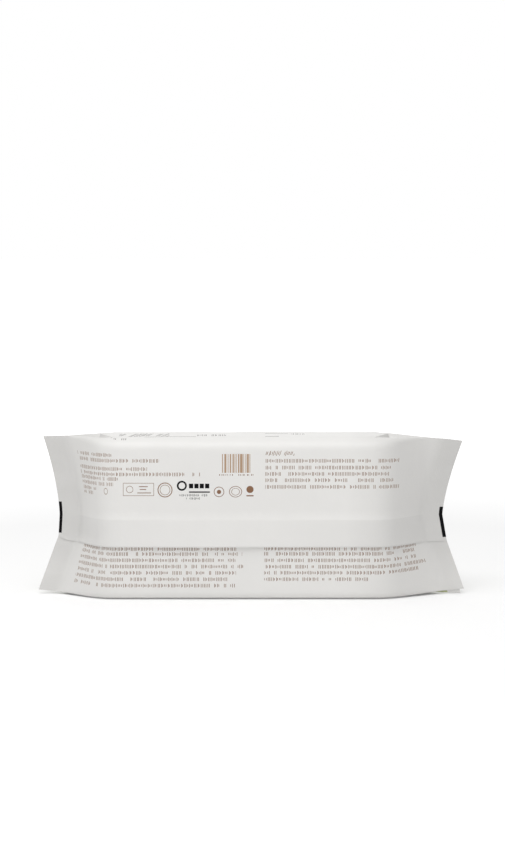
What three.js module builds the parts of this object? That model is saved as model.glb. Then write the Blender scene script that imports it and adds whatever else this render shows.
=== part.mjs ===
// Side-gusseted film pack of wet wipes, standing on its long lower side, with a glued reseal label.
// Millimetres, +X along the pack, back towards -Y, +Z up, the origin under the middle of the pack.
import * as THREE from 'three';
import { mergeVertices } from 'three/addons/utils/BufferGeometryUtils.js';
import { TessellateModifier } from 'three/addons/modifiers/TessellateModifier.js';

// The folded stack of wipes inside
const stackLength = 180;
const stackHeight = 100;
const stackThickness = 50;

// Roundings of the filled body
const backTopRadius = 8;
const frontTopRadius = 7;
const bottomRadius = 5;
const panelCrown = 1.4;
const topCrown = 0.8;

// End seals: the film is clamped in a strip that lies halfway between the back and the front
const sealWidth = 11;
const legThickness = 0.35;
const slitWidth = 0.2;

// Fin seal along the back, folded down
const finFoldHeight = 50;
const finWidth = 17;
const finThickness = 0.45;
const finRootGap = 0.15;
const finEdgeGap = 0.55;
const finBlend = 5;

// Where the end panels leave the body. A pinch above 1 draws a panel's folds in faster than its middle.
const foldLead = 5;
const foldRounding = 4;
const bottomPinch = 1.0;
const pinchSpread = 2.5;

// Reach of each cut edge beyond the stack, at four heights, and the heights of its corners
const leftCut = { top: 35.5, fold: 25.6, finEdge: 26.4, bottom: 38.9 };
const leftTopCurve = 1.6;
const leftTopPinch = 1.3;
const leftEarTop = 100.2;
const leftEarBottom = 3.6;
const leftEarDroop = 0;
const leftEarTuck = 0;
const rightCut = { top: 46.5, fold: 35.0, finEdge: 37.8, bottom: 48.2 };
const rightTopCurve = 1.3;
const rightTopPinch = 2.0;
const rightEarTop = 97.3;
const rightEarBottom = 3.1;
const rightEarDroop = 3.0;
const rightEarTuck = 3.5;
const earCurve = 1.5;

// Peel-and-reseal label on the front
const labelLength = 116;
const labelHeight = 66;
const labelCornerRadius = 16;
const labelThickness = 0.3;
const labelGap = 0.3;
const tabLength = 13;
const tabHeight = 30;
const tabCornerRadius = 9;

// Mesh steps
const bodySteps = 12;
const slantSteps = 11;
const arcSteps = 4;
const gussetSteps = 5;
const lowerPanelSteps = 5;
const finSteps = 4;
const upperPanelSteps = 8;
const frontPanelSteps = 12;
const capSteps = 9;
const labelArcSteps = 5;
const labelGrid = 15;

const finEdgeHeight = finFoldHeight - finWidth;
const sealHalf = legThickness + slitWidth / 2;
const fullLength = leftCut.bottom + stackLength + rightCut.bottom;
const bodyLeft = leftCut.bottom - fullLength / 2;
const bodyRight = bodyLeft + stackLength;

const leftEnd = {
  side: -1,
  bodyX: bodyLeft,
  cut: leftCut,
  topCurve: leftTopCurve,
  topPinch: leftTopPinch,
  earTop: leftEarTop,
  earBottom: leftEarBottom,
  droop: leftEarDroop,
  tuck: leftEarTuck,
};
const rightEnd = {
  side: 1,
  bodyX: bodyRight,
  cut: rightCut,
  topCurve: rightTopCurve,
  topPinch: rightTopPinch,
  earTop: rightEarTop,
  earBottom: rightEarBottom,
  droop: rightEarDroop,
  tuck: rightEarTuck,
};

const mix = (a, b, share) => a + (b - a) * share;
const clamp = (value, low, high) => Math.min(high, Math.max(low, value));

// How far the cut edge lies beyond the stack at a height
function cutReach(end, z) {
  const { top, fold, finEdge, bottom } = end.cut;
  if (z >= finFoldHeight) {
    const rise = clamp((z - finFoldHeight) / (end.earTop - finFoldHeight), 0, 1.05);
    return mix(fold, top, rise ** end.topCurve);
  }
  if (z >= finEdgeHeight) {
    return mix(fold, finEdge, (finFoldHeight - z) / finWidth);
  }
  return mix(finEdge, bottom, (finEdgeHeight - z) / (finEdgeHeight - end.earBottom));
}

// Height across a panel, from -1 at its lower fold to 1 at its upper fold
const across = (z, low, high) => clamp((2 * z - low - high) / (high - low), -1, 1);

const bodyHalf = (level) => stackThickness / 2 - panelCrown * level * level;

// A bend that starts gently: 0 at the start of the fold, then a straight slope
const hinge = (s, radius) => (s + Math.sqrt(s * s + radius * radius)) / 2;

// Share of the body's half thickness that is left on the end panel: 1 at the body, 0 at the seal
function openShare(end, t, z, level) {
  const total = cutReach(end, z) - sealWidth + foldLead;
  const bend = (s) => hinge(s * total - foldLead, foldRounding);
  const straight = clamp(1 - (bend(t) - bend(0)) / (bend(1) - bend(0)), 0, 1);
  const pinch = level > 0 ? end.topPinch : bottomPinch;
  return straight ** mix(1, pinch, Math.abs(level) ** pinchSpread);
}

// The station's shape: t runs from 0 at the body to 1 at the seal, and strip from 0 to 1 across the seal.
// The front layer of a lower ear may hang below the back layer and stay short of it.
function stationShape(station) {
  const { end, t, strip } = station;
  if (!end) {
    return { high: stackHeight, low: 0, frontLow: 0, tuck: 0 };
  }
  const slantPart = (end.cut.top - sealWidth) / end.cut.top;
  const out = mix(t * slantPart, 1, strip) ** earCurve;
  const low = mix(0, end.earBottom, out);
  return {
    high: mix(stackHeight, end.earTop, out),
    low,
    frontLow: low - end.droop * out * out,
    tuck: end.tuck * out * out,
  };
}

function place(station, y, z, lead, tuck = 0) {
  const { end, t, strip } = station;
  if (!end) {
    return [station.x, y, z];
  }
  const reach = cutReach(end, z) - tuck;
  const start = -foldLead * lead;
  const inner = mix(start, reach - sealWidth, t);
  return [end.bodyX + end.side * (inner + sealWidth * strip), y, z];
}

// How far the front layer falls short at a height: most at its fold and nothing above the gusset
function frontTuck(shape, z) {
  const down = clamp(1 - (z - shape.frontLow) / (stackThickness / 2), 0, 1);
  return shape.tuck * down * down;
}

function panelHalf(station, z, low, high) {
  const level = across(z, low, high);
  const body = bodyHalf(level);
  if (!station.end) {
    return body;
  }
  return sealHalf + (body - sealHalf) * openShare(station.end, station.t, z, level);
}

// From the end of a panel round its fold and down the gusset to the middle of the side.
// Out is the distance from the middle plane and rise the height towards the fold.
function foldAndGusset(half, radius, depth, crown) {
  const centreOut = half - radius;
  const toApex = [slitWidth / 2 - centreOut, radius - depth];
  const distance = Math.hypot(...toApex);
  const bearing = (Math.atan2(toApex[1], toApex[0]) + 2 * Math.PI) % (2 * Math.PI);
  const last = bearing - Math.acos(radius / distance);
  const points = [];
  for (let i = 1; i <= arcSteps; i++) {
    const angle = (last * i) / arcSteps;
    points.push([centreOut + radius * Math.cos(angle), radius * (Math.sin(angle) - 1), 1]);
  }
  const [fromOut, fromRise] = points[points.length - 1];
  for (let i = 1; i <= gussetSteps; i++) {
    const q = i / gussetSteps;
    const out = mix(fromOut, slitWidth / 2, q);
    const bump = crown * (1 - (out / half) ** 2);
    points.push([out, mix(fromRise, -depth, q) + bump, 1 - q]);
  }
  return points;
}

// Openness of a fold: 1 on the body, 0 in the seal
const foldShare = (station, z, up) => (station.end ? openShare(station.end, station.t, z, up) : 1);

const foldRadius = (station, z, up, bodyRadius) =>
  mix(legThickness / 2, bodyRadius, foldShare(station, z, up));

// Points of one corner in order from the panel to the middle of the side
function corner(station, shape, side, up, foldHeight, bodyRadius) {
  const radius = foldRadius(station, foldHeight, up, bodyRadius);
  const start = foldHeight - up * radius;
  const low = side < 0 ? shape.low : shape.frontLow;
  const half = panelHalf(station, start, low, shape.high);
  const bodyEdge = bodyHalf(across(start, low, shape.high));
  const depth = (stackThickness / 2) * Math.sqrt(Math.max(0, 1 - (half / bodyEdge) ** 2));
  const crown = up > 0 ? topCrown * foldShare(station, foldHeight, up) ** 4 : 0;
  const apexDepth = depth + up * (foldHeight - (up > 0 ? shape.high : shape.low));
  return foldAndGusset(half, radius, apexDepth, crown).map(([out, rise, lead]) => {
    const z = foldHeight + up * rise;
    return place(station, side * out, z, lead, side > 0 ? frontTuck(shape, z) : 0);
  });
}

// Thickness that the folded fin adds over the panel, with its gap, at a height
function finCover(station, z) {
  const hang = clamp((finFoldHeight - z) / finWidth, 0, 1);
  const loose = station.end ? 1 - station.t : 1;
  const gap = finRootGap + (finEdgeGap - finRootGap) * hang * loose;
  const fade = clamp(1 - (z - finFoldHeight) / finBlend, 0, 1);
  return { gap, cover: (gap + finThickness) * fade * fade };
}

function spread(from, to, steps) {
  return Array.from({ length: steps + 1 }, (_, i) => mix(from, to, i / steps));
}

// The back panel in four runs: up from its lower fold to the fin's root, the fin's inner and outer faces,
// and on from the fin to the upper fold
function backPanel(station, shape) {
  const first = shape.low + foldRadius(station, shape.low, -1, bottomRadius);
  const last = shape.high - foldRadius(station, shape.high, 1, backTopRadius);
  const at = (z, over) =>
    place(station, -panelHalf(station, z, shape.low, shape.high) - over, z, 1);
  const finRows = spread(finEdgeHeight, finFoldHeight, finSteps);
  const middle = finFoldHeight + finBlend / 2;
  return {
    lower: [...spread(first, finEdgeHeight, lowerPanelSteps), ...finRows.slice(1)].map((z) => at(z, 0)),
    finInner: [...finRows].reverse().map((z) => at(z, finCover(station, z).gap)),
    finOuter: finRows.map((z) => at(z, finCover(station, z).cover)),
    upper: [
      at(middle, finCover(station, middle).cover),
      ...spread(finFoldHeight + finBlend, last, upperPanelSteps).map((z) => at(z, 0)),
    ],
  };
}

function frontPanel(station, shape) {
  const first = shape.high - foldRadius(station, shape.high, 1, frontTopRadius);
  const last = shape.frontLow + foldRadius(station, shape.frontLow, -1, bottomRadius);
  return spread(first, last, frontPanelSteps).map((z) => {
    const half = panelHalf(station, z, shape.frontLow, shape.high);
    return place(station, half, z, 1, frontTuck(shape, z));
  });
}

// One closed loop of film round the pack, as named runs in order
function loopAt(station) {
  const shape = stationShape(station);
  const back = backPanel(station, shape);
  return {
    bottomBack: corner(station, shape, -1, -1, shape.low, bottomRadius).reverse(),
    lower: back.lower,
    finInner: back.finInner,
    finOuter: back.finOuter,
    upper: back.upper,
    topBack: corner(station, shape, -1, 1, shape.high, backTopRadius),
    topFront: corner(station, shape, 1, 1, shape.high, frontTopRadius).reverse(),
    front: frontPanel(station, shape),
    bottomFront: corner(station, shape, 1, -1, shape.frontLow, bottomRadius),
  };
}

function stationsAlong() {
  const side = (end) => [
    ...spread(0, 1, slantSteps).map((t) => ({ end, t, strip: 0 })),
    { end, t: 1, strip: 0.5 },
    { end, t: 1, strip: 1 },
  ];
  const body = spread(bodyLeft + foldLead, bodyRight - foldLead, bodySteps).slice(1, -1);
  return [...side(leftEnd).reverse(), ...body.map((x) => ({ end: null, x })), ...side(rightEnd)];
}

function signedVolume(points, faces) {
  let sum = 0;
  for (const [a, b, c] of faces) {
    const [ax, ay, az] = points[a];
    const [bx, by, bz] = points[b];
    const [cx, cy, cz] = points[c];
    sum += ax * (by * cz - bz * cy) + ay * (bz * cx - bx * cz) + az * (bx * cy - by * cx);
  }
  return sum / 6;
}

// Triangles between two chains of points that both rise. A level step of the first chain waits until
// the second chain is above it.
function zip(points, a, b) {
  const height = (chain, i) => (i < chain.length ? points[chain[i]][2] : Infinity);
  const faces = [];
  let [i, j] = [0, 0];
  while (i + 1 < a.length || j + 1 < b.length) {
    const [nextA, nextB] = [height(a, i + 1), height(b, j + 1)];
    const waits = nextA === height(a, i) && height(b, j) <= nextA && nextB < Infinity;
    const corners = nextA <= nextB && !waits ? [a[i], a[++i], b[j]] : [a[i], b[++j], b[j - 1]];
    if (new Set(corners).size === 3) {
      faces.push(corners);
    }
  }
  return faces;
}

// Closes the film at a cut edge: two layers side by side up to each gusset's apex and the panels on
// each other between the apexes. Points along the middle keep the closing faces on the cut edge's curve.
function capFaces(points, runs, station, turn) {
  const fold = arcSteps / 2;
  const split = {
    bottomBack: [...runs.bottomBack].reverse(),
    topBack: runs.topBack,
    topFront: [...runs.topFront].reverse(),
    bottomFront: runs.bottomFront,
  };
  const outside = (run) => run.slice(0, fold);
  const inside = (run) => run.slice(fold - 1);
  const low = points[split.bottomBack.at(-1)][2];
  const high = points[split.topBack.at(-1)][2];
  const middle = spread(low, high, capSteps).slice(1, -1).map((z) => {
    points.push(place(station, 0, z, 0));
    return points.length - 1;
  });
  const backPanelChain = [
    ...outside(split.bottomBack).reverse(),
    ...runs.lower,
    runs.finInner[0],
    runs.finOuter.at(-1),
    ...runs.upper,
    ...outside(split.topBack),
  ];
  const frontPanelChain = [
    ...outside(split.bottomFront).reverse(),
    ...[...runs.front].reverse(),
    ...outside(split.topFront),
  ];
  const backFilm = [...inside(split.bottomBack), ...middle, ...inside(split.topBack).reverse()];
  const frontFilm = [...inside(split.bottomFront), ...middle, ...inside(split.topFront).reverse()];
  const faces = [
    ...zip(points, backPanelChain, backFilm),
    ...zip(points, frontPanelChain, frontFilm),
    ...zip(points, [...runs.finInner].reverse(), runs.finOuter),
    [split.bottomBack.at(-1), split.bottomFront.at(-1), middle[0]],
    [split.topBack.at(-1), split.topFront.at(-1), middle.at(-1)],
  ];
  return faces.map(([a, b, c]) => {
    const [, ay, az] = points[a];
    const [, by, bz] = points[b];
    const [, cy, cz] = points[c];
    const area = (by - ay) * (cz - az) - (bz - az) * (cy - ay);
    return area * turn > 0 ? [a, b, c] : [a, c, b];
  });
}

function filmPackGeometry() {
  const stations = stationsAlong();
  const loops = stations.map(loopAt);
  const count = Object.values(loops[0]).flat().length;
  const points = loops.flatMap((loop) => Object.values(loop).flat());
  const faces = [];
  for (let i = 0; i + 1 < loops.length; i++) {
    for (let j = 0; j < count; j++) {
      const k = (j + 1) % count;
      const [a, b] = [i * count + j, (i + 1) * count + j];
      const [c, d] = [(i + 1) * count + k, i * count + k];
      faces.push([a, b, c], [a, c, d]);
    }
  }
  const outwards = signedVolume(points, faces) > 0;
  const wall = outwards ? faces : faces.map(([a, b, c]) => [a, c, b]);
  const numbered = (i) => {
    let next = i * count;
    return Object.fromEntries(Object.entries(loops[i]).map(([name, run]) =>
      [name, run.map(() => next++)]));
  };
  const last = loops.length - 1;
  const caps = [
    ...capFaces(points, numbered(0), stations[0], -1),
    ...capFaces(points, numbered(last), stations[last], 1),
  ];
  const geometry = new THREE.BufferGeometry();
  geometry.setAttribute('position', new THREE.Float32BufferAttribute(points.flat(), 3));
  geometry.setIndex([...wall, ...caps].flat());
  return geometry;
}

// Outline of the label with its pull tab, about its own middle
function labelOutline() {
  const [halfLength, halfHeight] = [labelLength / 2, labelHeight / 2];
  const r = labelCornerRadius;
  const tabEnd = halfLength + tabLength;
  const tabHalf = tabHeight / 2;
  const quarter = Math.PI / 2;
  const shape = new THREE.Shape();
  shape.moveTo(-halfLength + r, -halfHeight);
  shape.lineTo(halfLength - r, -halfHeight);
  shape.absarc(halfLength - r, -halfHeight + r, r, -quarter, 0, false);
  shape.lineTo(halfLength, -tabHalf);
  shape.lineTo(tabEnd - tabCornerRadius, -tabHalf);
  shape.absarc(tabEnd - tabCornerRadius, -tabHalf + tabCornerRadius, tabCornerRadius, -quarter, 0, false);
  shape.lineTo(tabEnd, tabHalf - tabCornerRadius);
  shape.absarc(tabEnd - tabCornerRadius, tabHalf - tabCornerRadius, tabCornerRadius, 0, quarter, false);
  shape.lineTo(halfLength, tabHalf);
  shape.lineTo(halfLength, halfHeight - r);
  shape.absarc(halfLength - r, halfHeight - r, r, 0, quarter, false);
  shape.lineTo(-halfLength + r, halfHeight);
  shape.absarc(-halfLength + r, halfHeight - r, r, quarter, 2 * quarter, false);
  shape.lineTo(-halfLength, -halfHeight + r);
  shape.absarc(-halfLength + r, -halfHeight + r, r, 2 * quarter, 3 * quarter, false);
  return shape;
}

// The label lies on the crowned front panel
function labelGeometry() {
  const flat = new THREE.ExtrudeGeometry(labelOutline(), {
    depth: labelThickness,
    bevelEnabled: false,
    curveSegments: labelArcSteps,
  });
  const fine = new TessellateModifier(labelGrid, 8).modify(flat);
  fine.deleteAttribute('normal');
  fine.deleteAttribute('uv');
  const middleX = (bodyLeft + bodyRight) / 2;
  const position = fine.getAttribute('position');
  for (let i = 0; i < position.count; i++) {
    const x = middleX - position.getX(i);
    const z = stackHeight / 2 + position.getY(i);
    const film = bodyHalf(across(z, 0, stackHeight));
    position.setXYZ(i, x, film + labelGap + position.getZ(i), z);
  }
  return mergeVertices(fine, 1e-4);
}

function namedMesh(name, geometry, colour, roughness) {
  const material = new THREE.MeshStandardMaterial({ color: colour, roughness, metalness: 0 });
  const mesh = new THREE.Mesh(geometry, material);
  mesh.name = name;
  return mesh;
}

const pack = new THREE.Group();
pack.add(namedMesh('film_pack', filmPackGeometry(), 0xe2e2de, 0.45));
pack.add(namedMesh('reseal_label', labelGeometry(), 0xd9dccb, 0.4));

export default pack;
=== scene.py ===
import math
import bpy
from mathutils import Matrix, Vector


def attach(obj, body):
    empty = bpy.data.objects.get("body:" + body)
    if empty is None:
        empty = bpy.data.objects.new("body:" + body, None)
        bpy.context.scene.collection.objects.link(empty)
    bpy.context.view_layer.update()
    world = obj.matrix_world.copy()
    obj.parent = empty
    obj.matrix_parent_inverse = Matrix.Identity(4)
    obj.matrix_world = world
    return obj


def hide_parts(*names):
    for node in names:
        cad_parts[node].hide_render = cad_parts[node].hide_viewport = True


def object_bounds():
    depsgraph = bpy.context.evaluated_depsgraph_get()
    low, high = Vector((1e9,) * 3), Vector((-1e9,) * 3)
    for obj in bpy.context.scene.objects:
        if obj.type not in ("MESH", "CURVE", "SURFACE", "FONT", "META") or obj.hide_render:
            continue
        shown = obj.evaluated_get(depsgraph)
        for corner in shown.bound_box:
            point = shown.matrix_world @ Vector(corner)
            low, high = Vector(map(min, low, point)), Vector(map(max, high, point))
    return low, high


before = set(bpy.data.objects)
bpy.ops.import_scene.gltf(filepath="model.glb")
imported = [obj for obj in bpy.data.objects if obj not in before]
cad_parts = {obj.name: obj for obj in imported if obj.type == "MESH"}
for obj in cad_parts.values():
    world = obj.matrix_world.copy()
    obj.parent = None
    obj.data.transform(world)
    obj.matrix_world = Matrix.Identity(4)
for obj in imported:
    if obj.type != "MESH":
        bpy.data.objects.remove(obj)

from types import SimpleNamespace

import bpy
import numpy as np
from mathutils import Vector, noise

cad_low, cad_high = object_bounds()

MM = 0.001

# The film's sizes are in millimetres, in the solid's own frame. First the stack and the roundings
STACK_LENGTH = 180.0
STACK_HEIGHT = 100.0
STACK_THICKNESS = 50.0
BACK_TOP_RADIUS = 8.0
FRONT_TOP_RADIUS = 7.0
BOTTOM_RADIUS = 5.0
PANEL_CROWN = 1.4
TOP_CROWN = 0.8
TOP_CROWN_FADE = 4

# An end seal: a leg of film on each side of a narrow slit, into which the gusset is folded
SEAL_WIDTH = 11.0
LEG_THICKNESS = 0.35
SLIT_WIDTH = 0.2
SEAL_HALF = LEG_THICKNESS + SLIT_WIDTH / 2

# The fin seal, folded down over the back. It lifts off the film around two places along it,
# each with its place, its reach and its share of the lift
FIN_FOLD_HEIGHT = 50.0
FIN_WIDTH = 17.0
FIN_EDGE_HEIGHT = FIN_FOLD_HEIGHT - FIN_WIDTH
FIN_THICKNESS = 0.3
FIN_ROOT_GAP = 0.15
FIN_EDGE_GAP = 1.1
FIN_LIFT = 0.6
FIN_LIFT_PLACES = ((-30.0, 42.0, 1.0), (104.0, 10.0, 0.9))
FIN_LOOSE_SHARE = 0.6
FIN_BLEND = 6.0
FIN_FOLD_PROUD = 0.5
FIN_RISE_REACH = 4.5

# How the end panels leave the body and land on the seals
FOLD_LEAD = 9.0
FOLD_ROUNDING = 7.0
LANDING = 0.1
LANDING_ROUNDING = 0.08
BOTTOM_PINCH = 1.0
PINCH_SPREAD = 2.5
EAR_CURVE = 1.5

# The two ends: reach of the cut edge beyond the stack at four heights, then the shape of the ears.
# Droop and tuck move the lower front ear, lean swings the seal to the front
LEFT = SimpleNamespace(
    side=-1, top=35.5, fold=25.6, fin_edge=26.4, bottom=39.3, top_curve=1.6, top_pinch=1.3,
    ear_top=99.6, ear_bottom=2.5, droop=0.0, tuck=0.0, lean=0.3, fin_rise=4.0)
RIGHT = SimpleNamespace(
    side=1, top=46.5, fold=34.2, fin_edge=37.1, bottom=48.2, top_curve=1.45, top_pinch=2.0,
    ear_top=96.7, ear_bottom=3.0, droop=3.0, tuck=3.5, lean=0.45, fin_rise=0.5)
RIGHT.body_x = cad_high[0] / MM - RIGHT.bottom
LEFT.body_x = RIGHT.body_x - STACK_LENGTH
STACK_MIDDLE = (LEFT.body_x + RIGHT.body_x) / 2

# A cut edge keeps its curve a little past the ear's height, as a share of the height above the fin's fold
CUT_OVERRUN = 1.05

# The lean of the seals
SWING_LEAD = 2.0
SWING_ROUNDING = 6.0
LEAN_FADE_HEIGHT = 30.0
LEAN_STRETCH = 0.083
LEAN_DROP = 0.14

# Unevenness of the film: its height, its wave lengths along X, Y and Z, and a shift of the noise
SAG = (0.45, (52.0, 44.0, 40.0), (0.0, 3.1, 0.0))
PULL = (0.35, (60.0, 30.0, 9.0), (0.0, 9.7, 0.0))
FLAP = (1.0, (400.0, math.inf, 26.0), (4.2, 0.5, 0.0))
DIMPLE = (0.4, (22.0, 14.0, math.inf), (0.0, 5.3, 2.7))

# Where it starts and where it is full: beyond the stack, above the floor and at the top
RIPPLE_BEYOND = (2.0, 22.0)
RIPPLE_ABOVE = (2.0, 16.0)
DIMPLE_ABOVE = (90.0, 99.0)

# Mesh steps
BODY_STEPS = 84
SLANT_STEPS = 36
STRIP_STEPS = 6
ARC_STEPS = 10
GUSSET_STEPS = 12
LOWER_STEPS = 14
FIN_STEPS = 12
BEND_STEPS = 8
UPPER_STEPS = 24
FRONT_STEPS = 48
CAP_STEPS = 60
SHARP_ANGLE = math.radians(50)

# The label on the front, as in the solid. The film's unevenness dies out from this far beyond
# the label's ends to this far inside them, on the front face only
LABEL_LENGTH = 116.0
LABEL_HEIGHT = 66.0
LABEL_CORNER = 16.0
TAB_LENGTH = 13.0
LABEL_CALM_REACH = 18.0
LABEL_CALM_INSET = 4.0
FRONT_FACE_FROM_Y = 10.0

# Places on the print, in millimetres: u runs along the flat film, v up the back, over and down the front
PANEL_LENGTH = 34.0
PANEL_V = STACK_THICKNESS / 2
APEX_V = 147.0
FIN_V = 400.0
PRINT_SCALE = 0.01

# The even unrolling of the skin, in shares of its picture: the skin, and the cut edges in its margins
BAKE_SKIN_U = (0.03, 0.97)
BAKE_SKIN_V = (0.01, 0.99)
BAKE_SHORTEST = 0.05
BAKE_CAP_U = 0.485
BAKE_CAP_V = 0.02
BAKE_CAP_RISE = 0.009


def mix(a, b, share):
    return a + (b - a) * share


def clamp(value, low=0.0, high=1.0):
    return min(high, max(low, value))


def smooth(low, high, value):
    s = clamp((value - low) / (high - low))
    return s * s * (3 - 2 * s)


def spread(start, stop, steps):
    return [mix(start, stop, i / steps) for i in range(steps + 1)]


def hinge(s, radius):
    """Zero below 0 and s above it, with a rounded bend between."""
    return (s + math.sqrt(s * s + radius * radius)) / 2


def across(z, low, high):
    """Height in a panel, from -1 at its lower edge to 1 at its upper one."""
    return clamp((2 * z - low - high) / (high - low), -1, 1)


def body_half(level):
    return STACK_THICKNESS / 2 - PANEL_CROWN * level * level


def cut_reach(end, z):
    """How far the cut edge lies beyond the stack at a height."""
    if z >= FIN_FOLD_HEIGHT:
        rise = clamp((z - FIN_FOLD_HEIGHT) / (end.ear_top - FIN_FOLD_HEIGHT), 0, CUT_OVERRUN)
        return mix(end.fold, end.top, rise ** end.top_curve)
    notch = FIN_EDGE_HEIGHT + end.fin_rise
    if z >= notch:
        return mix(end.fold, end.fin_edge, (FIN_FOLD_HEIGHT - z) / (FIN_FOLD_HEIGHT - notch))
    return mix(end.fin_edge, end.bottom, (notch - z) / (notch - end.ear_bottom))


def open_share(end, t, z, level):
    """Share of the body's half thickness that is left on the end panel."""
    total = cut_reach(end, z) - SEAL_WIDTH + FOLD_LEAD

    def bend(s):
        return hinge(s * total - FOLD_LEAD, FOLD_ROUNDING)

    def land(share):
        return hinge(share - LANDING, LANDING_ROUNDING)

    straight = clamp(1 - (bend(t) - bend(0)) / (bend(1) - bend(0)))
    straight = clamp((land(straight) - land(0)) / (land(1) - land(0)))
    pinch = end.top_pinch if level > 0 else BOTTOM_PINCH
    return straight ** mix(1, pinch, abs(level) ** PINCH_SPREAD)


def stations_along():
    """Places along the pack. t runs from 0 to 1 over an end panel, strip from 0 to 1 over its seal."""
    def side(end):
        row = [SimpleNamespace(end=end, t=t, strip=0.0) for t in spread(0, 1, SLANT_STEPS)]
        row += [SimpleNamespace(end=end, t=1.0, strip=s) for s in spread(0, 1, STRIP_STEPS)[1:]]
        for s in row:
            reach = -FOLD_LEAD * (1 - s.t) + PANEL_LENGTH * s.t + SEAL_WIDTH * s.strip
            s.u = end.body_x + end.side * reach
        return row

    body = spread(LEFT.body_x + FOLD_LEAD, RIGHT.body_x - FOLD_LEAD, BODY_STEPS)[1:-1]
    middle = [SimpleNamespace(end=None, t=0.0, strip=0.0, x=x, u=x) for x in body]
    return [*side(LEFT)[::-1], *middle, *side(RIGHT)]


def station_shape(station):
    """Heights of the film's upper and lower folds at a station, and how far the front ear is tucked in."""
    end, t, strip = station.end, station.t, station.strip
    if end is None:
        return SimpleNamespace(high=STACK_HEIGHT, low=0.0, front_low=0.0, tuck=0.0)
    slant_part = (end.top - SEAL_WIDTH) / end.top
    out = mix(t * slant_part, 1, strip) ** EAR_CURVE
    low = mix(0, end.ear_bottom, out)
    return SimpleNamespace(
        high=mix(STACK_HEIGHT, end.ear_top, out), low=low,
        front_low=low - end.droop * out * out, tuck=end.tuck * out * out)


def place(station, y, z, lead, tuck=0.0):
    """Point at a depth and height. An end panel starts lead times FOLD_LEAD inside the stack's end."""
    end = station.end
    if end is None:
        return (station.x, y, z)
    reach = cut_reach(end, z) - tuck
    inner = mix(-FOLD_LEAD * lead, reach - SEAL_WIDTH, station.t)
    return (end.body_x + end.side * (inner + SEAL_WIDTH * station.strip), y, z)


def front_tuck(shape, z):
    """How far the front layer's cut edge is drawn in at a height."""
    down = clamp(1 - (z - shape.front_low) / (STACK_THICKNESS / 2))
    return shape.tuck * down * down


def panel_half(station, z, low, high):
    level = across(z, low, high)
    body = body_half(level)
    if station.end is None:
        return body
    return SEAL_HALF + (body - SEAL_HALF) * open_share(station.end, station.t, z, level)


def fold_share(station, z, up):
    return 1.0 if station.end is None else open_share(station.end, station.t, z, up)


def fold_radius(station, z, up, body_radius):
    return mix(LEG_THICKNESS / 2, body_radius, fold_share(station, z, up))


def fold_and_gusset(half, radius, depth, crown):
    """From the end of a panel round its fold and down the gusset to the middle of the side."""
    centre_out = half - radius
    to_apex = (SLIT_WIDTH / 2 - centre_out, radius - depth)
    bearing = math.atan2(to_apex[1], to_apex[0]) % (2 * math.pi)
    last = bearing - math.acos(radius / math.hypot(*to_apex))
    points = []
    for i in range(1, ARC_STEPS + 1):
        angle = last * i / ARC_STEPS
        points.append((centre_out + radius * math.cos(angle), radius * (math.sin(angle) - 1), 1.0))
    from_out, from_rise, _ = points[-1]
    for i in range(1, GUSSET_STEPS + 1):
        q = i / GUSSET_STEPS
        out = mix(from_out, SLIT_WIDTH / 2, q)
        bump = crown * (1 - (out / half) ** 2)
        points.append((out, mix(from_rise, -depth, q) + bump, 1 - q))
    return points


def film_v(shape, z, low):
    """Height on the printed film: the folds stay at 0 and at the stack's height."""
    return STACK_HEIGHT * (z - low) / (shape.high - low)


def corner(station, shape, side, up, fold_height, body_radius):
    """Rows (point, v, v) of one corner in order from the panel to the middle of the side."""
    radius = fold_radius(station, fold_height, up, body_radius)
    start = fold_height - up * radius
    low = shape.low if side < 0 else shape.front_low
    half = panel_half(station, start, low, shape.high)
    body_edge = body_half(across(start, low, shape.high))
    depth = STACK_THICKNESS / 2 * math.sqrt(max(0.0, 1 - (half / body_edge) ** 2))
    crown = TOP_CROWN * fold_share(station, fold_height, up) ** TOP_CROWN_FADE if up > 0 else 0.0
    apex_depth = depth + up * (fold_height - (shape.high if up > 0 else shape.low))
    rows = []
    for out, rise, lead in fold_and_gusset(half, radius, apex_depth, crown):
        z = fold_height + up * rise
        tuck = front_tuck(shape, z) if side > 0 else 0.0
        rows.append(place(station, side * out, z, lead, tuck))
    panel_v = PANEL_V + film_v(shape, start, low)
    apex_v = APEX_V if up > 0 else 0.0
    lengths = np.cumsum([math.dist(a, b) for a, b in zip([rows[0], *rows], rows)])
    first = math.dist((side * half, start), rows[0][1:])
    shares = (lengths + first) / (lengths[-1] + first)
    values = [mix(panel_v, apex_v, float(s)) for s in shares]
    if side > 0:
        values = [2 * APEX_V - v for v in values]
    return [(p, v, v) for p, v in zip(rows, values)]


def fin_edge_height(station):
    if station.end is None:
        return FIN_EDGE_HEIGHT
    from_cut = SEAL_WIDTH * (1 - station.strip) + (1 - station.t) * PANEL_LENGTH
    return FIN_EDGE_HEIGHT + station.end.fin_rise * math.exp(-from_cut / FIN_RISE_REACH)


def fin_cover(station, z):
    """How far the fin's inner and outer faces stand off the back at a height."""
    hang = clamp((FIN_FOLD_HEIGHT - z) / (FIN_FOLD_HEIGHT - fin_edge_height(station)))
    loose = smooth(0.0, FIN_LOOSE_SHARE, 1 - station.t) if station.end else 1.0
    lift = sum(share * math.exp(-((station.u - u) / reach) ** 2) for u, reach, share in FIN_LIFT_PLACES)
    edge_gap = FIN_EDGE_GAP + FIN_LIFT * lift
    gap = FIN_ROOT_GAP + (edge_gap - FIN_ROOT_GAP) * hang * loose
    fade = clamp(1 - (z - FIN_FOLD_HEIGHT) / FIN_BLEND)
    proud = FIN_FOLD_PROUD * loose * (1 - hang)
    return gap, (gap + FIN_THICKNESS + proud) * fade * fade


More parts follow.
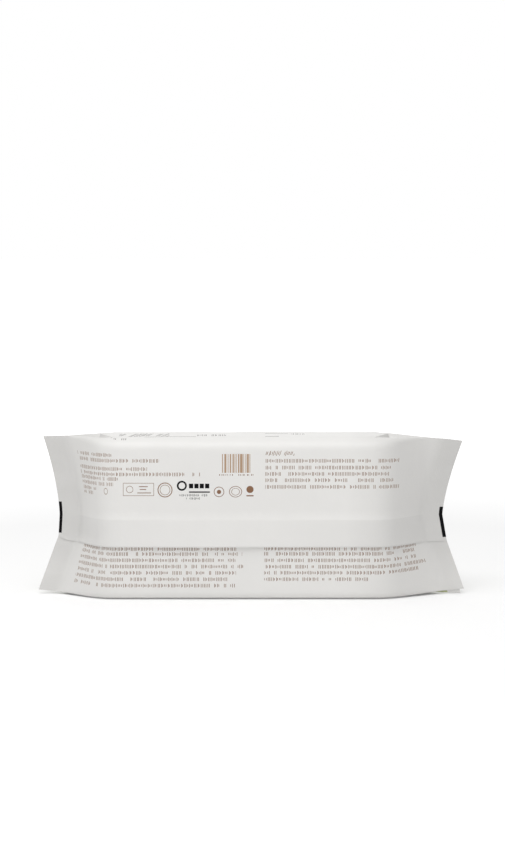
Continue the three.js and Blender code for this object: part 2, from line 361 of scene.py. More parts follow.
def back_panel(station, shape):
    """Rows of the back in four runs. The fin's two faces have places of their own on the print."""
    first = shape.low + fold_radius(station, shape.low, -1, BOTTOM_RADIUS)
    last = shape.high - fold_radius(station, shape.high, 1, BACK_TOP_RADIUS)

    def at(z, over, v=None):
        point = place(station, -panel_half(station, z, shape.low, shape.high) - over, z, 1)
        v = PANEL_V + film_v(shape, z, shape.low) if v is None else v
        return point, v, v

    edge = fin_edge_height(station)
    rows = spread(edge, FIN_FOLD_HEIGHT, FIN_STEPS)
    bend = spread(FIN_FOLD_HEIGHT, FIN_FOLD_HEIGHT + FIN_BLEND, BEND_STEPS)[1:-1]
    panel_fold_v = PANEL_V + film_v(shape, FIN_FOLD_HEIGHT, shape.low)
    lower = [at(z, 0) for z in [*spread(first, edge, LOWER_STEPS), *rows[1:]]]
    lower[-1] = (*lower[-1][:2], FIN_V - 1)
    inner = [at(z, fin_cover(station, z)[0], FIN_V + FIN_FOLD_HEIGHT - z) for z in reversed(rows)]
    outer = [at(z, fin_cover(station, z)[1], FIN_V + FIN_WIDTH + z - edge) for z in rows]
    outer[-1] = (*outer[-1][:2], panel_fold_v)
    upper = [at(z, fin_cover(station, z)[1]) for z in bend]
    upper += [at(z, 0) for z in spread(FIN_FOLD_HEIGHT + FIN_BLEND, last, UPPER_STEPS)]
    return lower, inner, outer, upper


def front_panel(station, shape):
    first = shape.high - fold_radius(station, shape.high, 1, FRONT_TOP_RADIUS)
    last = shape.front_low + fold_radius(station, shape.front_low, -1, BOTTOM_RADIUS)
    rows = []
    for z in spread(first, last, FRONT_STEPS):
        half = panel_half(station, z, shape.front_low, shape.high)
        v = 2 * APEX_V - PANEL_V - film_v(shape, z, shape.front_low)
        rows.append((place(station, half, z, 1, front_tuck(shape, z)), v, v))
    return rows


def loop_at(station):
    """One closed loop of film round the pack, as named runs in order.

    Each row is its point and its v on the print, once for the film below it and once for the film above.
    """
    shape = station_shape(station)
    lower, fin_inner, fin_outer, upper = back_panel(station, shape)
    return {
        "bottom_back": corner(station, shape, -1, -1, shape.low, BOTTOM_RADIUS)[::-1],
        "lower": lower,
        "fin_inner": fin_inner,
        "fin_outer": fin_outer,
        "upper": upper,
        "top_back": corner(station, shape, -1, 1, shape.high, BACK_TOP_RADIUS),
        "top_front": corner(station, shape, 1, 1, shape.high, FRONT_TOP_RADIUS)[::-1],
        "front": front_panel(station, shape),
        "bottom_front": corner(station, shape, 1, -1, shape.front_low, BOTTOM_RADIUS),
    }


def waves(point, kind):
    height, lengths, shifts = kind
    return height * noise.noise(Vector([c / length + s for c, length, s in zip(point, lengths, shifts)]))


def ripple(point):
    """A point's place on the uneven film. It depends on the point alone, so layers move together."""
    x, y, z = point
    end = LEFT if x < 0 else RIGHT
    beyond = max(LEFT.body_x - x, x - RIGHT.body_x, 0.0)
    out = smooth(*RIPPLE_BEYOND, beyond)
    standing = smooth(*RIPPLE_ABOVE, z)
    if y > FRONT_FACE_FROM_Y and beyond < 1:
        half = (LABEL_LENGTH + TAB_LENGTH) / 2
        from_label = abs(x - (STACK_MIDDLE - TAB_LENGTH / 2))
        standing *= smooth(half - LABEL_CALM_INSET, half + LABEL_CALM_REACH, from_label)
    uneven = waves(point, SAG) + out * waves(point, PULL) + out * out * waves(point, FLAP)
    swing = hinge(beyond - cut_reach(end, z) + SEAL_WIDTH + SWING_LEAD, SWING_ROUNDING)
    leaned = out * end.lean * swing * smooth(0, LEAN_FADE_HEIGHT, z)
    dimple = smooth(*DIMPLE_ABOVE, z) * (1 - out) * waves(point, DIMPLE)
    return (
        x + LEAN_STRETCH * end.side * leaned, y + standing * uneven + leaned,
        z + dimple - LEAN_DROP * leaned)


def zip_chains(points, a, b):
    """Triangles between two chains of points that both rise."""
    faces = []
    i = j = 0

    def height(chain, k):
        return points[chain[k]][2] if k < len(chain) else math.inf

    while i + 1 < len(a) or j + 1 < len(b):
        next_a, next_b = height(a, i + 1), height(b, j + 1)
        waits = next_a == height(a, i) and height(b, j) <= next_a and next_b < math.inf
        if next_a <= next_b and not waits:
            i += 1
            face = (a[i - 1], a[i], b[j])
        else:
            j += 1
            face = (a[i], b[j], b[j - 1])
        if len(set(face)) == 3:
            faces.append(face)
    return faces


def cap_faces(points, runs, station, turn):
    """Closes the film at a cut edge, two layers side by side up to each gusset."""
    fold = ARC_STEPS // 2
    bottom_back, top_front = runs["bottom_back"][::-1], runs["top_front"][::-1]
    top_back, bottom_front = runs["top_back"], runs["bottom_front"]
    low, high = points[bottom_back[-1]][2], points[top_back[-1]][2]
    middle = []
    for z in spread(low, high, CAP_STEPS)[1:-1]:
        points.append(place(station, 0.0, z, 0))
        middle.append(len(points) - 1)
    back_chain = [
        *bottom_back[:fold][::-1], *runs["lower"], runs["fin_inner"][0], runs["fin_outer"][-1],
        *runs["upper"], *top_back[:fold]]
    front_chain = [*bottom_front[:fold][::-1], *runs["front"][::-1], *top_front[:fold]]
    back_film = [*bottom_back[fold - 1:], *middle, *top_back[fold - 1:][::-1]]
    front_film = [*bottom_front[fold - 1:], *middle, *top_front[fold - 1:][::-1]]
    faces = [
        *zip_chains(points, back_chain, back_film),
        *zip_chains(points, front_chain, front_film),
        *zip_chains(points, runs["fin_inner"][::-1], runs["fin_outer"]),
        (bottom_back[-1], bottom_front[-1], middle[0]),
        (top_back[-1], top_front[-1], middle[-1]),
    ]
    turned = []
    for a, b, c in faces:
        (_, ay, az), (_, by, bz), (_, cy, cz) = points[a], points[b], points[c]
        area = (by - ay) * (cz - az) - (bz - az) * (cy - ay)
        turned.append((a, b, c) if area * turn > 0 else (a, c, b))
    return turned


def bake_lines(rows):
    """Even unrolling of the skin: places of the stations and of the rows round the loop."""
    places = np.array([[row[0] for row in loop] for loop in rows])
    along = np.linalg.norm(np.diff(places, axis=0), axis=2).mean(axis=1)
    round_it = np.linalg.norm(np.diff(places, axis=1, append=places[:, :1]), axis=2).mean(axis=0)
    lines = []
    for steps, (low, high) in ((along, BAKE_SKIN_U), (round_it, BAKE_SKIN_V)):
        run = np.concatenate([[0.0], np.cumsum(np.maximum(steps, BAKE_SHORTEST))])
        lines.append((low + (high - low) * run / run[-1]).tolist())
    return lines


def skin_faces(stations, rows):
    """Faces between the loops, with their corners on the print and on the unrolling."""
    count = len(rows[0])
    bake_u, bake_v = bake_lines(rows)
    faces, printed, unrolled = [], [], []
    for i in range(len(rows) - 1):
        near, far = stations[i].u, stations[i + 1].u
        for j in range(count):
            k = (j + 1) % count
            faces.append((i * count + j, i * count + k, (i + 1) * count + k, (i + 1) * count + j))
            top_near, top_far = (2 * APEX_V, 2 * APEX_V) if k == 0 else (rows[i][k][1], rows[i + 1][k][1])
            printed += [(near, rows[i][j][2]), (near, top_near), (far, top_far), (far, rows[i + 1][j][2])]
            unrolled += [
                (bake_u[i], bake_v[j]), (bake_u[i], bake_v[j + 1]),
                (bake_u[i + 1], bake_v[j + 1]), (bake_u[i + 1], bake_v[j])]
    return faces, printed, unrolled


def film_mesh():
    stations = stations_along()
    loops = [loop_at(s) for s in stations]
    rows = [[row for run in loop.values() for row in run] for loop in loops]
    points = [row[0] for loop in rows for row in loop]
    faces, printed, unrolled = skin_faces(stations, rows)
    for i, turn in ((0, -1), (len(rows) - 1, 1)):
        number = i * len(rows[0])
        runs = {}
        for name, run in loops[i].items():
            runs[name] = list(range(number, number + len(run)))
            number += len(run)
        for face in cap_faces(points, runs, stations[i], turn):
            faces.append(face)
            for _, y, z in [points[p] for p in face]:
                printed.append((stations[i].u, PANEL_V + z))
                unrolled.append((0.5 + turn * BAKE_CAP_U + y * MM, BAKE_CAP_V + z * BAKE_CAP_RISE))
    mesh = bpy.data.meshes.new("film_pack_skin")
    mesh.from_pydata([tuple(c * MM for c in ripple(p)) for p in points], [], faces)
    for name, corners, scale in (("print", printed, PRINT_SCALE), ("OFBake", unrolled, 1)):
        layer = mesh.uv_layers.new(name=name)
        layer.data.foreach_set("uv", np.array(corners, dtype=np.float32).ravel() * scale)
    mesh.shade_smooth()
    mesh.set_sharp_from_angle(angle=SHARP_ANGLE)
    return mesh


# Colours
FILM_WHITE = (0.80, 0.79, 0.77)
INK_TAN = (0.19, 0.07, 0.012)
INK_BARS = (0.42, 0.28, 0.18)
INK_GREY = (0.16, 0.15, 0.14)
INK_BLACK = (0.004, 0.004, 0.005)
OLIVE = (0.42, 0.45, 0.24)
LABEL_TINT = (0.62, 0.64, 0.50)
TAN_COVER = 0.95

# Gloss: the specular level of the film and of the black ink, and the reach of a noise's usual values
SPECULAR = 0.5
INK_BLACK_SPECULAR = 0.05
NOISE_REACH = (0.3, 0.7)

# Strokes stand for small print, two to a cell. Their places, reach and heights are shares of a cell or row
STROKE_PLACES = (0.16, 0.6)
STROKE_PLACE_SPREAD = 0.2
STROKE_REACH = 0.09
SHORT_STROKE = 0.32
LONG_STROKE_MORE = 0.18
SHORT_STROKE_CHANCE = 0.4
STROKE_RISE_SPREAD = 0.08
GAP_CHANCE = 0.13
ROW_SHIFT = 7.31

# Rows of strokes on the print: start and end along the film, and height of the row's middle
LEFT_MARGIN = -117.6
RIGHT_MARGIN = 7.8
STROKE_ROWS = [
    *[(LEFT_MARGIN, end, v) for end, v in (
        (-84.8, 115.0), (-57.0, 111.6), (-64.5, 106.5), (-31.8, 103.2), (-82.4, 100.3),
        (-85.4, 97.0), (-103.5, 93.6), (-107.0, 90.8))],
    *[(RIGHT_MARGIN + 0.7, end, v) for end, v in (
        (93.9, 111.6), (87.2, 107.4), (88.1, 103.5), (89.5, 99.6), (94.1, 95.5))],
    *[(LEFT_MARGIN + 0.4, end, v) for end, v in (
        (-9.6, 56.8), (-5.9, 53.6), (-9.6, 49.7), (-5.3, 45.8), (-9.7, 41.8), (-15.2, 37.8),
        (-10.3, 33.8))],
    *[(RIGHT_MARGIN, end, v) for end, v in (
        (108.0, 57.0), (105.9, 53.8), (106.2, 49.7), (111.8, 45.7), (105.8, 41.9), (72.1, 37.8))],
]
TAN_STROKES = [
    dict(rows=STROKE_ROWS, height=2.3, pitch=2.05),
    dict(rows=[(8.4, 26.3, 116.3)], height=3.2, pitch=1.9, slant=0.35),
    dict(rows=[(-20.2, 2.1, 102.9)], height=1.0, pitch=2.6),
]
TOP_STROKES = [
    dict(rows=[(-82.5, -51.0, 141.0)], height=15.0, pitch=3.4, slant=0.3),
    dict(rows=[(-85.2, -77.4, 127.6)], height=3.0, pitch=2.4),
    dict(rows=[(-34.0, -16.0, 138.9), (24.0, 34.0, 147.4)], height=8.0, pitch=2.2),
]
BLACK_STROKES = [dict(rows=[(-44.6, -27.4, 90.3), (-40.4, -31.6, 88.3)], height=1.5, pitch=1.3)]

# Bars of random width in a box. A box is its start and end in u, then in v
BAR_BOX = (-18.2, 0.2, 104.2, 115.8)
BAR_STEP = 0.42
BAR_CHANCE = 0.58
BAR_SEED = 3.0

# Plain signs. A frame is a box and a line. A ring is u, v, radius, line and a squash, a disc u, v, radius
TAN_FRAMES = [(-79.3, -60.2, 89.9, 97.9, 0.28)]
TAN_BOXES = [
    (-69.5, -64.0, 95.4, 95.9), (-69.0, -65.0, 93.6, 94.1), (-70.5, -62.0, 91.5, 92.0),
    (-3.2, 1.2, 89.6, 90.4)]
TAN_RINGS = [
    (-93.0, 92.6, 2.0, 0.35), (-75.2, 93.9, 2.2, 0.3), (-53.4, 93.6, 4.6, 0.55), (-53.4, 93.6, 3.2, 0.3),
    (-20.1, 92.4, 3.2, 0.4), (-9.9, 92.5, 4.0, 0.4, 1.15), (-9.9, 92.5, 2.6, 0.3, 1.15)]
TAN_DISCS = [(-20.1, 92.4, 1.3), (-1.0, 93.9, 2.2)]
TOP_BOXES = [(-66.6, -34.5, 131.9, 133.1), (8.4, 22.8, 148.7, 150.3), (8.4, 17.0, 131.8, 133.2)]
BLACK_RINGS = [(-43.0, 96.2, 3.1, 1.1)]
BLACK_SQUARES = [(u, u + 2.6, 94.6, 97.5) for u in (-38.6, -35.3, -32.0, -28.7)]
BLACK_RULE = (-38.6, -25.7, 91.9, 92.7)

# Black marks at the cut edges: middle and half width on the print, middle and half height above the floor
EDGE_MARKS = [(-138.75, 0.95, 47.9, 9.9), (129.25, 1.15, 44.6, 9.6)]

# The olive field on the lower half of the front
OLIVE_FIELD = (-127.0, 121.0, 228.0, 289.0)

# Painted shade. Film beyond the stack's ends is painted darker, partly for the greyer look of film that
# stands free of the stack and partly as painted shade of the end panels and seals; the fin's ends get
# painted shade and the fin's free edge a painted shadow line. Each tint has its start and its end along u
# and its share, and the height has its start, its end and the factors there, so that the painted shade is
# weaker low down, as painted light from the floor
THIN_AND_SHADED_FACTOR = 0.79
PANEL_THIN_AND_SHADE_TINTS = ((58.0, 92.0, 0.55), (-80.0, -104.0, 0.4))
SEAL_THIN_AND_SHADE_TINT = (108.0, 126.0, 1.0)
FIN_END_SHADE = (30.0, 85.0, 0.2)
FIN_END_SHADE_MIDDLE = -20.0
SHADE_BY_HEIGHT = (8.0, 42.0, 0.72, 1.15)
FIN_EDGE_SHADOW = 0.3
FIN_EDGE_SHADOW_REACH = 0.9
FIN_EDGE_SHADOW_HALF_LENGTH = 118.0
MOTTLE = 0.015

# Ribs of the end seals: their pitch, and where they start and fade in from the stack's middle
RIB_PITCH = 1.1
RIBS_START = STACK_LENGTH / 2 + PANEL_LENGTH
RIBS_FADE = 1.2

# Heights of the relief, in metres
RIB_HEIGHT = 0.000008
GRAIN_HEIGHT = 0.00002
CREASE_HEIGHT = 0.0004
LABEL_SOFT_HEIGHT = 0.0003
LABEL_GRAIN_HEIGHT = 0.00001
RIDGE_HEIGHT = 0.00015

# Marks on the label, in millimetres
RIM_INSET = 3.2
RIM_REACH = 0.5
RIDGE_BOX = (-73.0, -65.5, 42.0, 58.0)
RIDGE_PITCH = 1.6
RIDGE_TINT = 0.6
LABEL_MOTTLE = 0.03


def principled(name, colour, roughness):
    """A material with its mean colour and roughness. A pattern may then take their place."""
    material = bpy.data.materials.new(name)
    material.use_nodes = True
    shader = material.node_tree.nodes["Principled BSDF"]
    shader.inputs["Base Color"].default_value = (*colour, 1)
    shader.inputs["Roughness"].default_value = roughness
    return material, shader


def shaded(colour, factor):
    return tuple(min(1, c * factor) for c in colour)


class Graph:
    """Short calls for the nodes of a material or world. An input is a socket or a number."""

    def __init__(self, owner):
        self.nodes = owner.node_tree.nodes
        self.links = owner.node_tree.links

    def put(self, socket, value):
        if isinstance(value, bpy.types.NodeSocket):
            self.links.new(value, socket)
        else:
            socket.default_value = value

    def calc(self, operation, *values):
        node = self.nodes.new("ShaderNodeMath")
        node.operation = operation
        for socket, value in zip(node.inputs, values):
            self.put(socket, value)
        return node.outputs[0]

    def any_of(self, masks):
        total = masks[0]
        for mask in masks[1:]:
            total = self.calc("MAXIMUM", total, mask)
        return total

    def all_of(self, *masks):
        total = masks[0]
        for mask in masks[1:]:
            total = self.calc("MULTIPLY", total, mask)
        return total

    def coordinates(self, kind):
        """A coordinate vector and its three parts."""
        vector = self.nodes.new("ShaderNodeTexCoord").outputs[kind]
        return vector, *self.parts(vector)

    def parts(self, vector):
        split = self.nodes.new("ShaderNodeSeparateXYZ")
        self.links.new(vector, split.inputs[0])
        return list(split.outputs)

    def off(self, value, centre):
        """Distance of a value from a centre."""
        return self.calc("ABSOLUTE", self.calc("SUBTRACT", value, centre))

    def near(self, value, centre, reach):
        return self.calc("COMPARE", value, centre, reach)

    def box(self, u, v, u0, u1, v0, v1):
        return self.all_of(
            self.near(u, (u0 + u1) / 2, (u1 - u0) / 2), self.near(v, (v0 + v1) / 2, (v1 - v0) / 2))

    def frame(self, u, v, u0, u1, v0, v1, line):
        inner = self.box(u, v, u0 + line, u1 - line, v0 + line, v1 - line)
        return self.calc("SUBTRACT", self.box(u, v, u0, u1, v0, v1), inner)

    def distance(self, u, v, cu, cv, squash=1.0):
        du = self.calc("SUBTRACT", u, cu)
        dv = self.calc("MULTIPLY", self.calc("SUBTRACT", v, cv), squash)
        return self.calc("SQRT", self.calc("MULTIPLY_ADD", du, du, self.calc("MULTIPLY", dv, dv)))

    def ring(self, u, v, cu, cv, radius, line, squash=1.0):
        return self.near(self.distance(u, v, cu, cv, squash), radius - line / 2, line / 2)

    def disc(self, u, v, cu, cv, radius):
        return self.calc("LESS_THAN", self.distance(u, v, cu, cv), radius)

    def white(self, a, b):
        """Four random numbers of a pair of values."""
        join = self.nodes.new("ShaderNodeCombineXYZ")
        self.put(join.inputs[0], a)
        self.put(join.inputs[1], b)
        node = self.nodes.new("ShaderNodeTexWhiteNoise")
        node.noise_dimensions = "3D"
        self.links.new(join.outputs[0], node.inputs["Vector"])
        split = self.nodes.new("ShaderNodeSeparateColor")
        self.links.new(node.outputs["Color"], split.inputs[0])
        return [node.outputs["Value"], *split.outputs]

    def noise(self, vector, scale, detail=2.0, roughness=0.5):
        node = self.nodes.new("ShaderNodeTexNoise")
        self.put(node.inputs["Vector"], vector)
        node.inputs["Scale"].default_value = scale
        node.inputs["Detail"].default_value = detail
        node.inputs["Roughness"].default_value = roughness
        return node.outputs["Fac"]

    def span(self, value, low, high, to_low, to_high):
        node = self.nodes.new("ShaderNodeMapRange")
        names = ("Value", "From Min", "From Max", "To Min", "To Max")
        for name, v in zip(names, (value, low, high, to_low, to_high)):
            self.put(node.inputs[name], v)
        return node.outputs["Result"]

    def blend(self, share, a, b):
        node = self.nodes.new("ShaderNodeMix")
        node.data_type = "RGBA"
        self.put(node.inputs[0], share)
        for socket, value in zip(node.inputs[6:8], (a, b)):
            self.put(socket, value if isinstance(value, bpy.types.NodeSocket) else (*value, 1))
        return node.outputs[2]

    def uneven_gloss(self, shader, where, scale, low, high):
        """Roughness that wanders between two values."""
        self.put(shader.inputs["Roughness"], self.span(self.noise(where, scale), *NOISE_REACH, low, high))

    def bump(self, shader, height):
        node = self.nodes.new("ShaderNodeBump")
        node.inputs["Strength"].default_value = 1.0
        node.inputs["Distance"].default_value = 1.0
        self.links.new(height, node.inputs["Height"])
        self.links.new(node.outputs[0], shader.inputs["Normal"])

    def seen_ray(self):
        """1 for rays that show the white background, 0 for those that light the object."""
        path = self.nodes.new("ShaderNodeLightPath")
        kinds = ("Is Camera Ray", "Is Glossy Ray", "Is Transmission Ray")
        return self.any_of([path.outputs[kind] for kind in kinds])

    def strokes(self, u, v, rows, height, pitch, slant=0.0):
        """Rows (start, end, height on the film) of plain upright strokes in groups."""
        row = 0.0
        for u0, u1, centre in rows:
            hit = self.all_of(self.near(v, centre, height / 2), self.near(u, (u0 + u1) / 2, (u1 - u0) / 2))
            row = self.calc("MULTIPLY_ADD", hit, centre, row)
        rise = self.calc("SUBTRACT", v, row)
        leaned = self.calc("MULTIPLY_ADD", rise, -slant, u)
        cell = self.calc("DIVIDE", self.calc("MULTIPLY_ADD", row, ROW_SHIFT, leaned), pitch)
        index, along = self.calc("FLOOR", cell), self.calc("FRACT", cell)
        group_seed, first_seed, second_seed, rise_seed = self.white(index, row)
        level = self.calc("DIVIDE", rise, height)
        middle = self.calc("MULTIPLY_ADD", rise_seed, STROKE_RISE_SPREAD, -STROKE_RISE_SPREAD / 2)
        marks = []
        for start, seed in zip(STROKE_PLACES, (first_seed, second_seed)):
            is_long = self.calc("GREATER_THAN", seed, SHORT_STROKE_CHANCE)
            half_height = self.calc("MULTIPLY_ADD", is_long, LONG_STROKE_MORE, SHORT_STROKE)
            at = self.calc("MULTIPLY_ADD", seed, STROKE_PLACE_SPREAD, start)
            marks.append(self.all_of(
                self.near(along, at, STROKE_REACH), self.near(level, middle, half_height)))
        grouped = self.calc("GREATER_THAN", group_seed, GAP_CHANCE)
        in_a_row = self.calc("GREATER_THAN", row, 1.0)
        return self.all_of(self.any_of(marks), grouped, in_a_row)


def film_inks(g, u, v, z):
    """Masks of the four inks on the film."""
    bar = g.white(g.calc("FLOOR", g.calc("DIVIDE", u, BAR_STEP)), BAR_SEED)[0]
    bars = g.all_of(g.box(u, v, *BAR_BOX), g.calc("GREATER_THAN", bar, 1 - BAR_CHANCE))
    tan = g.any_of([
        *[g.strokes(u, v, **block) for block in TAN_STROKES],
        *[g.frame(u, v, *sign) for sign in TAN_FRAMES],
        *[g.box(u, v, *box) for box in TAN_BOXES],
        *[g.ring(u, v, *ring) for ring in TAN_RINGS],
        *[g.disc(u, v, *disc) for disc in TAN_DISCS],
    ])
    grey = g.any_of([
        *[g.strokes(u, v, **block) for block in TOP_STROKES],
        *[g.box(u, v, *box) for box in TOP_BOXES],
    ])
    black = g.any_of([
        *[g.strokes(u, v, **block) for block in BLACK_STROKES],
        *[g.ring(u, v, *ring) for ring in BLACK_RINGS],
        *[g.box(u, v, *box) for box in (*BLACK_SQUARES, BLACK_RULE)],
        *[g.all_of(g.near(u, at, reach), g.near(z, height, half)) for at, reach, height, half in EDGE_MARKS],
    ])
    return tan, bars, grey, black


def film_ground_and_shade(g, where, u, v, z):
    """The bare film's colour: mottled, with painted shade on the end panels, seals, fin ends and along the
    fin's edge, partly also the greyer look of film that stands free of the stack.
    """
    mottle = g.noise(where, scale=60.0, detail=3.0)
    plain = g.blend(mottle, shaded(FILM_WHITE, 1 - MOTTLE), shaded(FILM_WHITE, 1 + MOTTLE))
    # Painted shade, partly also the greyer look of thin film: the end panels and seals darken away from the
    # stack
    panel_shade = g.calc("MAXIMUM", *[g.span(u, start, full, 0.0, share) for start, full, share in PANEL_THIN_AND_SHADE_TINTS])
    start, full, share = SEAL_THIN_AND_SHADE_TINT
    seal_shade = g.span(g.off(u, STACK_MIDDLE), start, full, 0.0, share)
    # Painted light from the floor: the painted shade of panels and seals is weaker low down and stronger
    # high up
    thin_and_shaded = g.all_of(g.calc("MAXIMUM", panel_shade, seal_shade), g.span(z, *SHADE_BY_HEIGHT))
    # Painted shade: the fin band darkens towards its left and right ends
    start, full, share = FIN_END_SHADE
    fin_end_shade = g.span(g.off(u, FIN_END_SHADE_MIDDLE), start, full, 0.0, share)
    thin_and_shaded = g.calc("ADD", thin_and_shaded, g.all_of(g.calc("GREATER_THAN", v, FIN_V), fin_end_shade))
    # Painted shadow: a dark line along the fin's free edge, standing for the shadow under it
    rim = g.all_of(
        g.near(v, FIN_V + FIN_WIDTH, FIN_EDGE_SHADOW_REACH), g.near(u, STACK_MIDDLE, FIN_EDGE_SHADOW_HALF_LENGTH))
    thin_and_shaded = g.calc("ADD", thin_and_shaded, g.calc("MULTIPLY", rim, FIN_EDGE_SHADOW))
    return g.blend(thin_and_shaded, plain, shaded(FILM_WHITE, THIN_AND_SHADED_FACTOR))


def film_relief(g, where, u):
    """Ribs of the end seals, grain and soft creases."""
    strip = g.span(g.calc("SUBTRACT", g.off(u, STACK_MIDDLE), RIBS_START), 0.0, RIBS_FADE, 0.0, 1.0)
    ribs = g.all_of(strip, g.calc("SINE", g.calc("MULTIPLY", u, 2 * math.pi / RIB_PITCH)))
    grain = g.calc("MULTIPLY", g.noise(where, scale=900.0, detail=3.0), GRAIN_HEIGHT)
    fine = g.calc("MULTIPLY_ADD", ribs, RIB_HEIGHT, grain)
    creases = g.noise(where, scale=45.0, detail=4.0, roughness=0.55)
    return g.calc("MULTIPLY_ADD", creases, CREASE_HEIGHT, fine)


def film_look():
    """Printed film with a satin face."""
    material, shader = principled("film", FILM_WHITE, roughness=0.45)
    g = Graph(material)
    uv = g.nodes.new("ShaderNodeUVMap")
    uv.uv_map = "print"
    u, v = [g.calc("MULTIPLY", part, 1 / PRINT_SCALE) for part in g.parts(uv.outputs[0])[:2]]
    where, _, _, height = g.coordinates("Object")
    z = g.calc("MULTIPLY", height, 1 / MM)

    tan, bars, grey, black = film_inks(g, u, v, z)
    colour = g.blend(g.box(u, v, *OLIVE_FIELD), film_ground_and_shade(g, where, u, v, z), OLIVE)
    colour = g.blend(g.calc("MULTIPLY", tan, TAN_COVER), colour, INK_TAN)
    for mask, ink in ((bars, INK_BARS), (grey, INK_GREY), (black, INK_BLACK)):
        colour = g.blend(mask, colour, ink)
    g.put(shader.inputs["Base Color"], colour)
    specular = g.calc("MULTIPLY_ADD", black, INK_BLACK_SPECULAR - SPECULAR, SPECULAR)
    g.put(shader.inputs["Specular IOR Level"], specular)
    g.uneven_gloss(shader, where, scale=140.0, low=0.38, high=0.5)
    g.bump(shader, film_relief(g, where, u))
    return material


def label_look():
    """A pale sticker with a darker rim line and a ridged pull tab."""
    material, shader = principled("label", LABEL_TINT, roughness=0.35)
    g = Graph(material)
    where, x, _, z = g.coordinates("Object")
    x, z = g.calc("MULTIPLY", x, 1 / MM), g.calc("MULTIPLY", z, 1 / MM)
    beyond_x = g.calc("SUBTRACT", g.off(x, STACK_MIDDLE), LABEL_LENGTH / 2 - LABEL_CORNER)
    beyond_z = g.calc("SUBTRACT", g.off(z, STACK_HEIGHT / 2), LABEL_HEIGHT / 2 - LABEL_CORNER)
    dx, dz = g.calc("MAXIMUM", beyond_x, 0), g.calc("MAXIMUM", beyond_z, 0)
    from_corner = g.calc("SQRT", g.calc("MULTIPLY_ADD", dx, dx, g.calc("MULTIPLY", dz, dz)))
    rim = g.near(from_corner, LABEL_CORNER - RIM_INSET, RIM_REACH)
    wave = g.calc("SINE", g.calc("MULTIPLY", x, 2 * math.pi / RIDGE_PITCH))
    ridges = g.all_of(g.box(x, z, *RIDGE_BOX), g.span(wave, -1, 1, 0, 1))

    mottle = g.noise(where, scale=70.0, detail=3.0)
    tint = g.blend(mottle, shaded(LABEL_TINT, 1 - LABEL_MOTTLE), shaded(LABEL_TINT, 1 + LABEL_MOTTLE))
    tint = g.blend(g.any_of([rim, g.calc("MULTIPLY", ridges, RIDGE_TINT)]), tint, OLIVE)
    g.put(shader.inputs["Base Color"], tint)
    g.uneven_gloss(shader, where, scale=160.0, low=0.3, high=0.42)
    grain = g.calc("MULTIPLY", g.noise(where, scale=900.0), LABEL_GRAIN_HEIGHT)
    fine = g.calc("MULTIPLY_ADD", g.noise(where, scale=30.0), LABEL_SOFT_HEIGHT, grain)
    g.bump(shader, g.calc("MULTIPLY_ADD", ridges, RIDGE_HEIGHT, fine))
    return material


# Light. The world is weaker from the sides, and the floor's own glow is seen but lights nothing
WORLD_STRENGTH = 0.8
WORLD_SIDE_LOSS = 0.65
KEY_PLACE = (-0.3, -0.6, 1.5)
KEY_TARGET = (0, 0, 0.05)
KEY_SIZE = (1.3, 1.0)
KEY_POWER = 11.0
FLOOR_HALF = 6.0
FLOOR_DROP = 0.0002
FLOOR_BOUNCE = (0.94, 0.94, 0.94)
FLOOR_SEEN = (0.86, 0.86, 0.86)
FLOOR_GLOW = 0.14
FLOOR_GLOW_START = 0.35
FLOOR_GLOW_FULL = 1.6


def world_light():
    world = bpy.data.worlds.new("studio")
    bpy.context.scene.world = world
    world.use_nodes = True
    background = world.node_tree.nodes["Background"]
    background.inputs["Color"].default_value = (1, 1, 1, 1)
    g = Graph(world)
    _, x, _, _ = g.coordinates("Generated")
    sideways = g.calc("MULTIPLY", x, x)
    light = g.calc("MULTIPLY_ADD", sideways, -WORLD_SIDE_LOSS * WORLD_STRENGTH, WORLD_STRENGTH)
    g.put(background.inputs["Strength"], g.span(g.seen_ray(), 0.0, 1.0, light, 1.0))


def key_light():
    lamp = bpy.data.lights.new("key_light", "AREA")
    lamp.shape = "RECTANGLE"
    lamp.size, lamp.size_y = KEY_SIZE
    lamp.energy = KEY_POWER
    obj = bpy.data.objects.new("key_light", lamp)
    obj.location = KEY_PLACE
    obj.rotation_euler = (Vector(KEY_TARGET) - Vector(KEY_PLACE)).to_track_quat("-Z", "Y").to_euler()
    bpy.context.scene.collection.objects.link(obj)


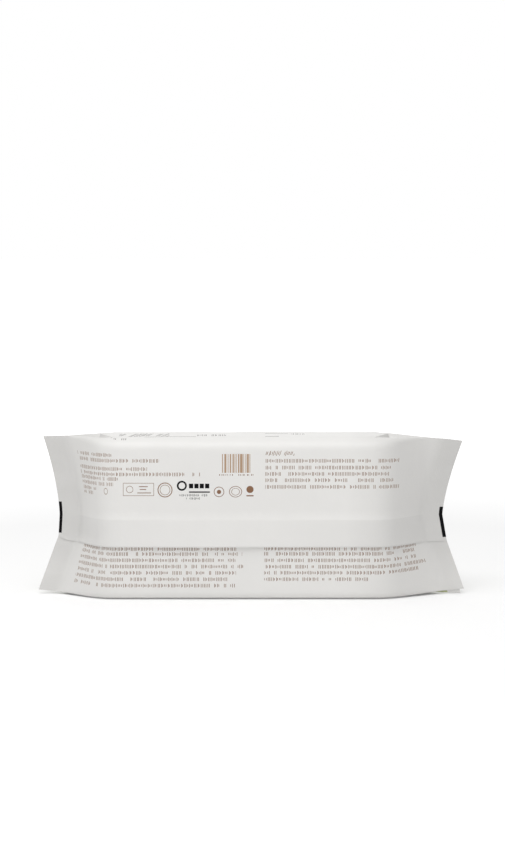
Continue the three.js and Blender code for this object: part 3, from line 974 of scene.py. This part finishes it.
def floor_plane():
    s, z = FLOOR_HALF, -FLOOR_DROP
    mesh = bpy.data.meshes.new("floor")
    mesh.from_pydata([(-s, -s, z), (s, -s, z), (s, s, z), (-s, s, z)], [], [(0, 1, 2, 3)])
    obj = bpy.data.objects.new("floor", mesh)
    bpy.context.scene.collection.objects.link(obj)
    material, shader = principled("floor", FLOOR_BOUNCE, roughness=0.8)
    shader.inputs["Specular IOR Level"].default_value = 0.0
    shader.inputs["Emission Color"].default_value = (1, 1, 1, 1)
    g = Graph(material)
    _, x, y, _ = g.coordinates("Object")
    away = g.distance(x, y, 0.0, 0.0)
    glow = g.span(away, FLOOR_GLOW_START, FLOOR_GLOW_FULL, FLOOR_GLOW, 1.0)
    seen = g.seen_ray()
    g.put(shader.inputs["Emission Strength"], g.calc("MULTIPLY", seen, glow))
    g.put(shader.inputs["Base Color"], g.blend(seen, FLOOR_BOUNCE, FLOOR_SEEN))
    mesh.materials.append(material)


# Camera. The aim is the middle of the pack, which lies off the middle of the photo by so many pixels
AIM = Vector((0, 0, STACK_HEIGHT / 2 * MM))
AIM_DISTANCE = 1.6
AIM_ELEVATION = math.radians(7.7)
MM_PER_PIXEL = 0.627
PIXELS_RIGHT = -0.9
PIXELS_DOWN = 82.5
PHOTO_HEIGHT = 864
SENSOR_MM = 36.0
CLIP = (0.05, 30)


def photo_camera():
    data = bpy.data.cameras.new("camera")
    camera = bpy.data.objects.new("camera", data)
    bpy.context.scene.collection.objects.link(camera)
    back = Vector((0, -math.cos(AIM_ELEVATION), math.sin(AIM_ELEVATION)))
    camera.location = AIM + AIM_DISTANCE * back
    aim_down = math.atan(PIXELS_DOWN * MM_PER_PIXEL * MM / AIM_DISTANCE)
    yaw = math.atan(PIXELS_RIGHT * MM_PER_PIXEL * MM / AIM_DISTANCE)
    camera.rotation_euler = (math.pi / 2 - (AIM_ELEVATION - aim_down), 0, yaw)
    depth = AIM_DISTANCE * math.cos(aim_down)
    data.sensor_width = SENSOR_MM
    data.lens = depth * SENSOR_MM / (MM_PER_PIXEL * MM * PHOTO_HEIGHT)
    data.clip_start, data.clip_end = CLIP
    return camera


film = bpy.data.objects.new("wrapper_film", film_mesh())
bpy.context.scene.collection.objects.link(film)
film.data.materials.append(film_look())
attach(film, "root")
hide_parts("film_pack")

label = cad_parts["reseal_label"]
label.data.materials.clear()
label.data.materials.append(label_look())

world_light()
key_light()
floor_plane()
bpy.context.scene.camera = photo_camera()
bpy.context.scene.view_settings.view_transform = "Standard"
